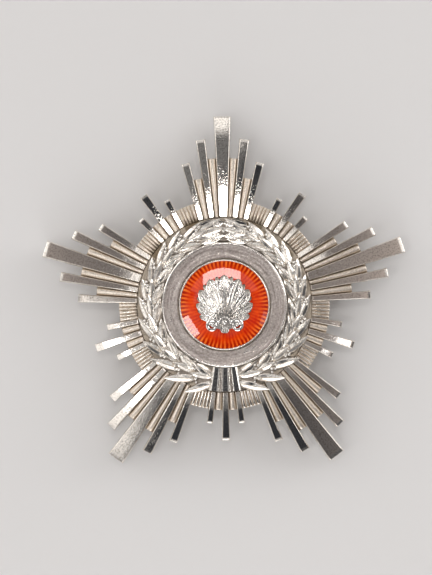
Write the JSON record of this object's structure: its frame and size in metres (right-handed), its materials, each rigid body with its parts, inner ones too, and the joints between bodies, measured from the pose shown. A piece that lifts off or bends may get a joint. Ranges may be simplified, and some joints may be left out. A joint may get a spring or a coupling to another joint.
{
  "type": "order insignia breast star",
  "caption": "Silver breast star of rays in arms, with a laurel wreath, an orange-red enamel medallion, a raised palmette and a brooch pin behind.",
  "frame": {"origin": "on the medallion's axis, in the plane of the surface that both feet of the pin fitting rest on", "axes": "+Z out of the face of the star, +Y along one arm towards its end, +X to the right of that arm as the face is seen"},
  "size_m": [0.063, 0.06, 0.0092],
  "materials": {
    "ray_silver": "polished silver with golden-brown tarnish in the grooves and on the rods",
    "wreath_silver": "cast silver, bright on the leaves and dark in the gaps",
    "collar_silver": "turned silver with fine concentric marks and a bright outer edge",
    "cup_silver": "polished silver rim",
    "red_enamel": "glossy translucent orange-red enamel over cut radial flutes",
    "relief_silver": "struck silver relief, dark in its recesses",
    "pin_metal": "plain finely brushed silver alloy"
  },
  "bodies": {
    "root": {"rayed_star": "ray_silver", "laurel_wreath": "wreath_silver", "collar_ring": "collar_silver", "medallion_cup": "cup_silver", "enamel_disc": "red_enamel", "palmette_emblem": "relief_silver", "brooch_pin": "pin_metal"}
  },
  "joints": []
}
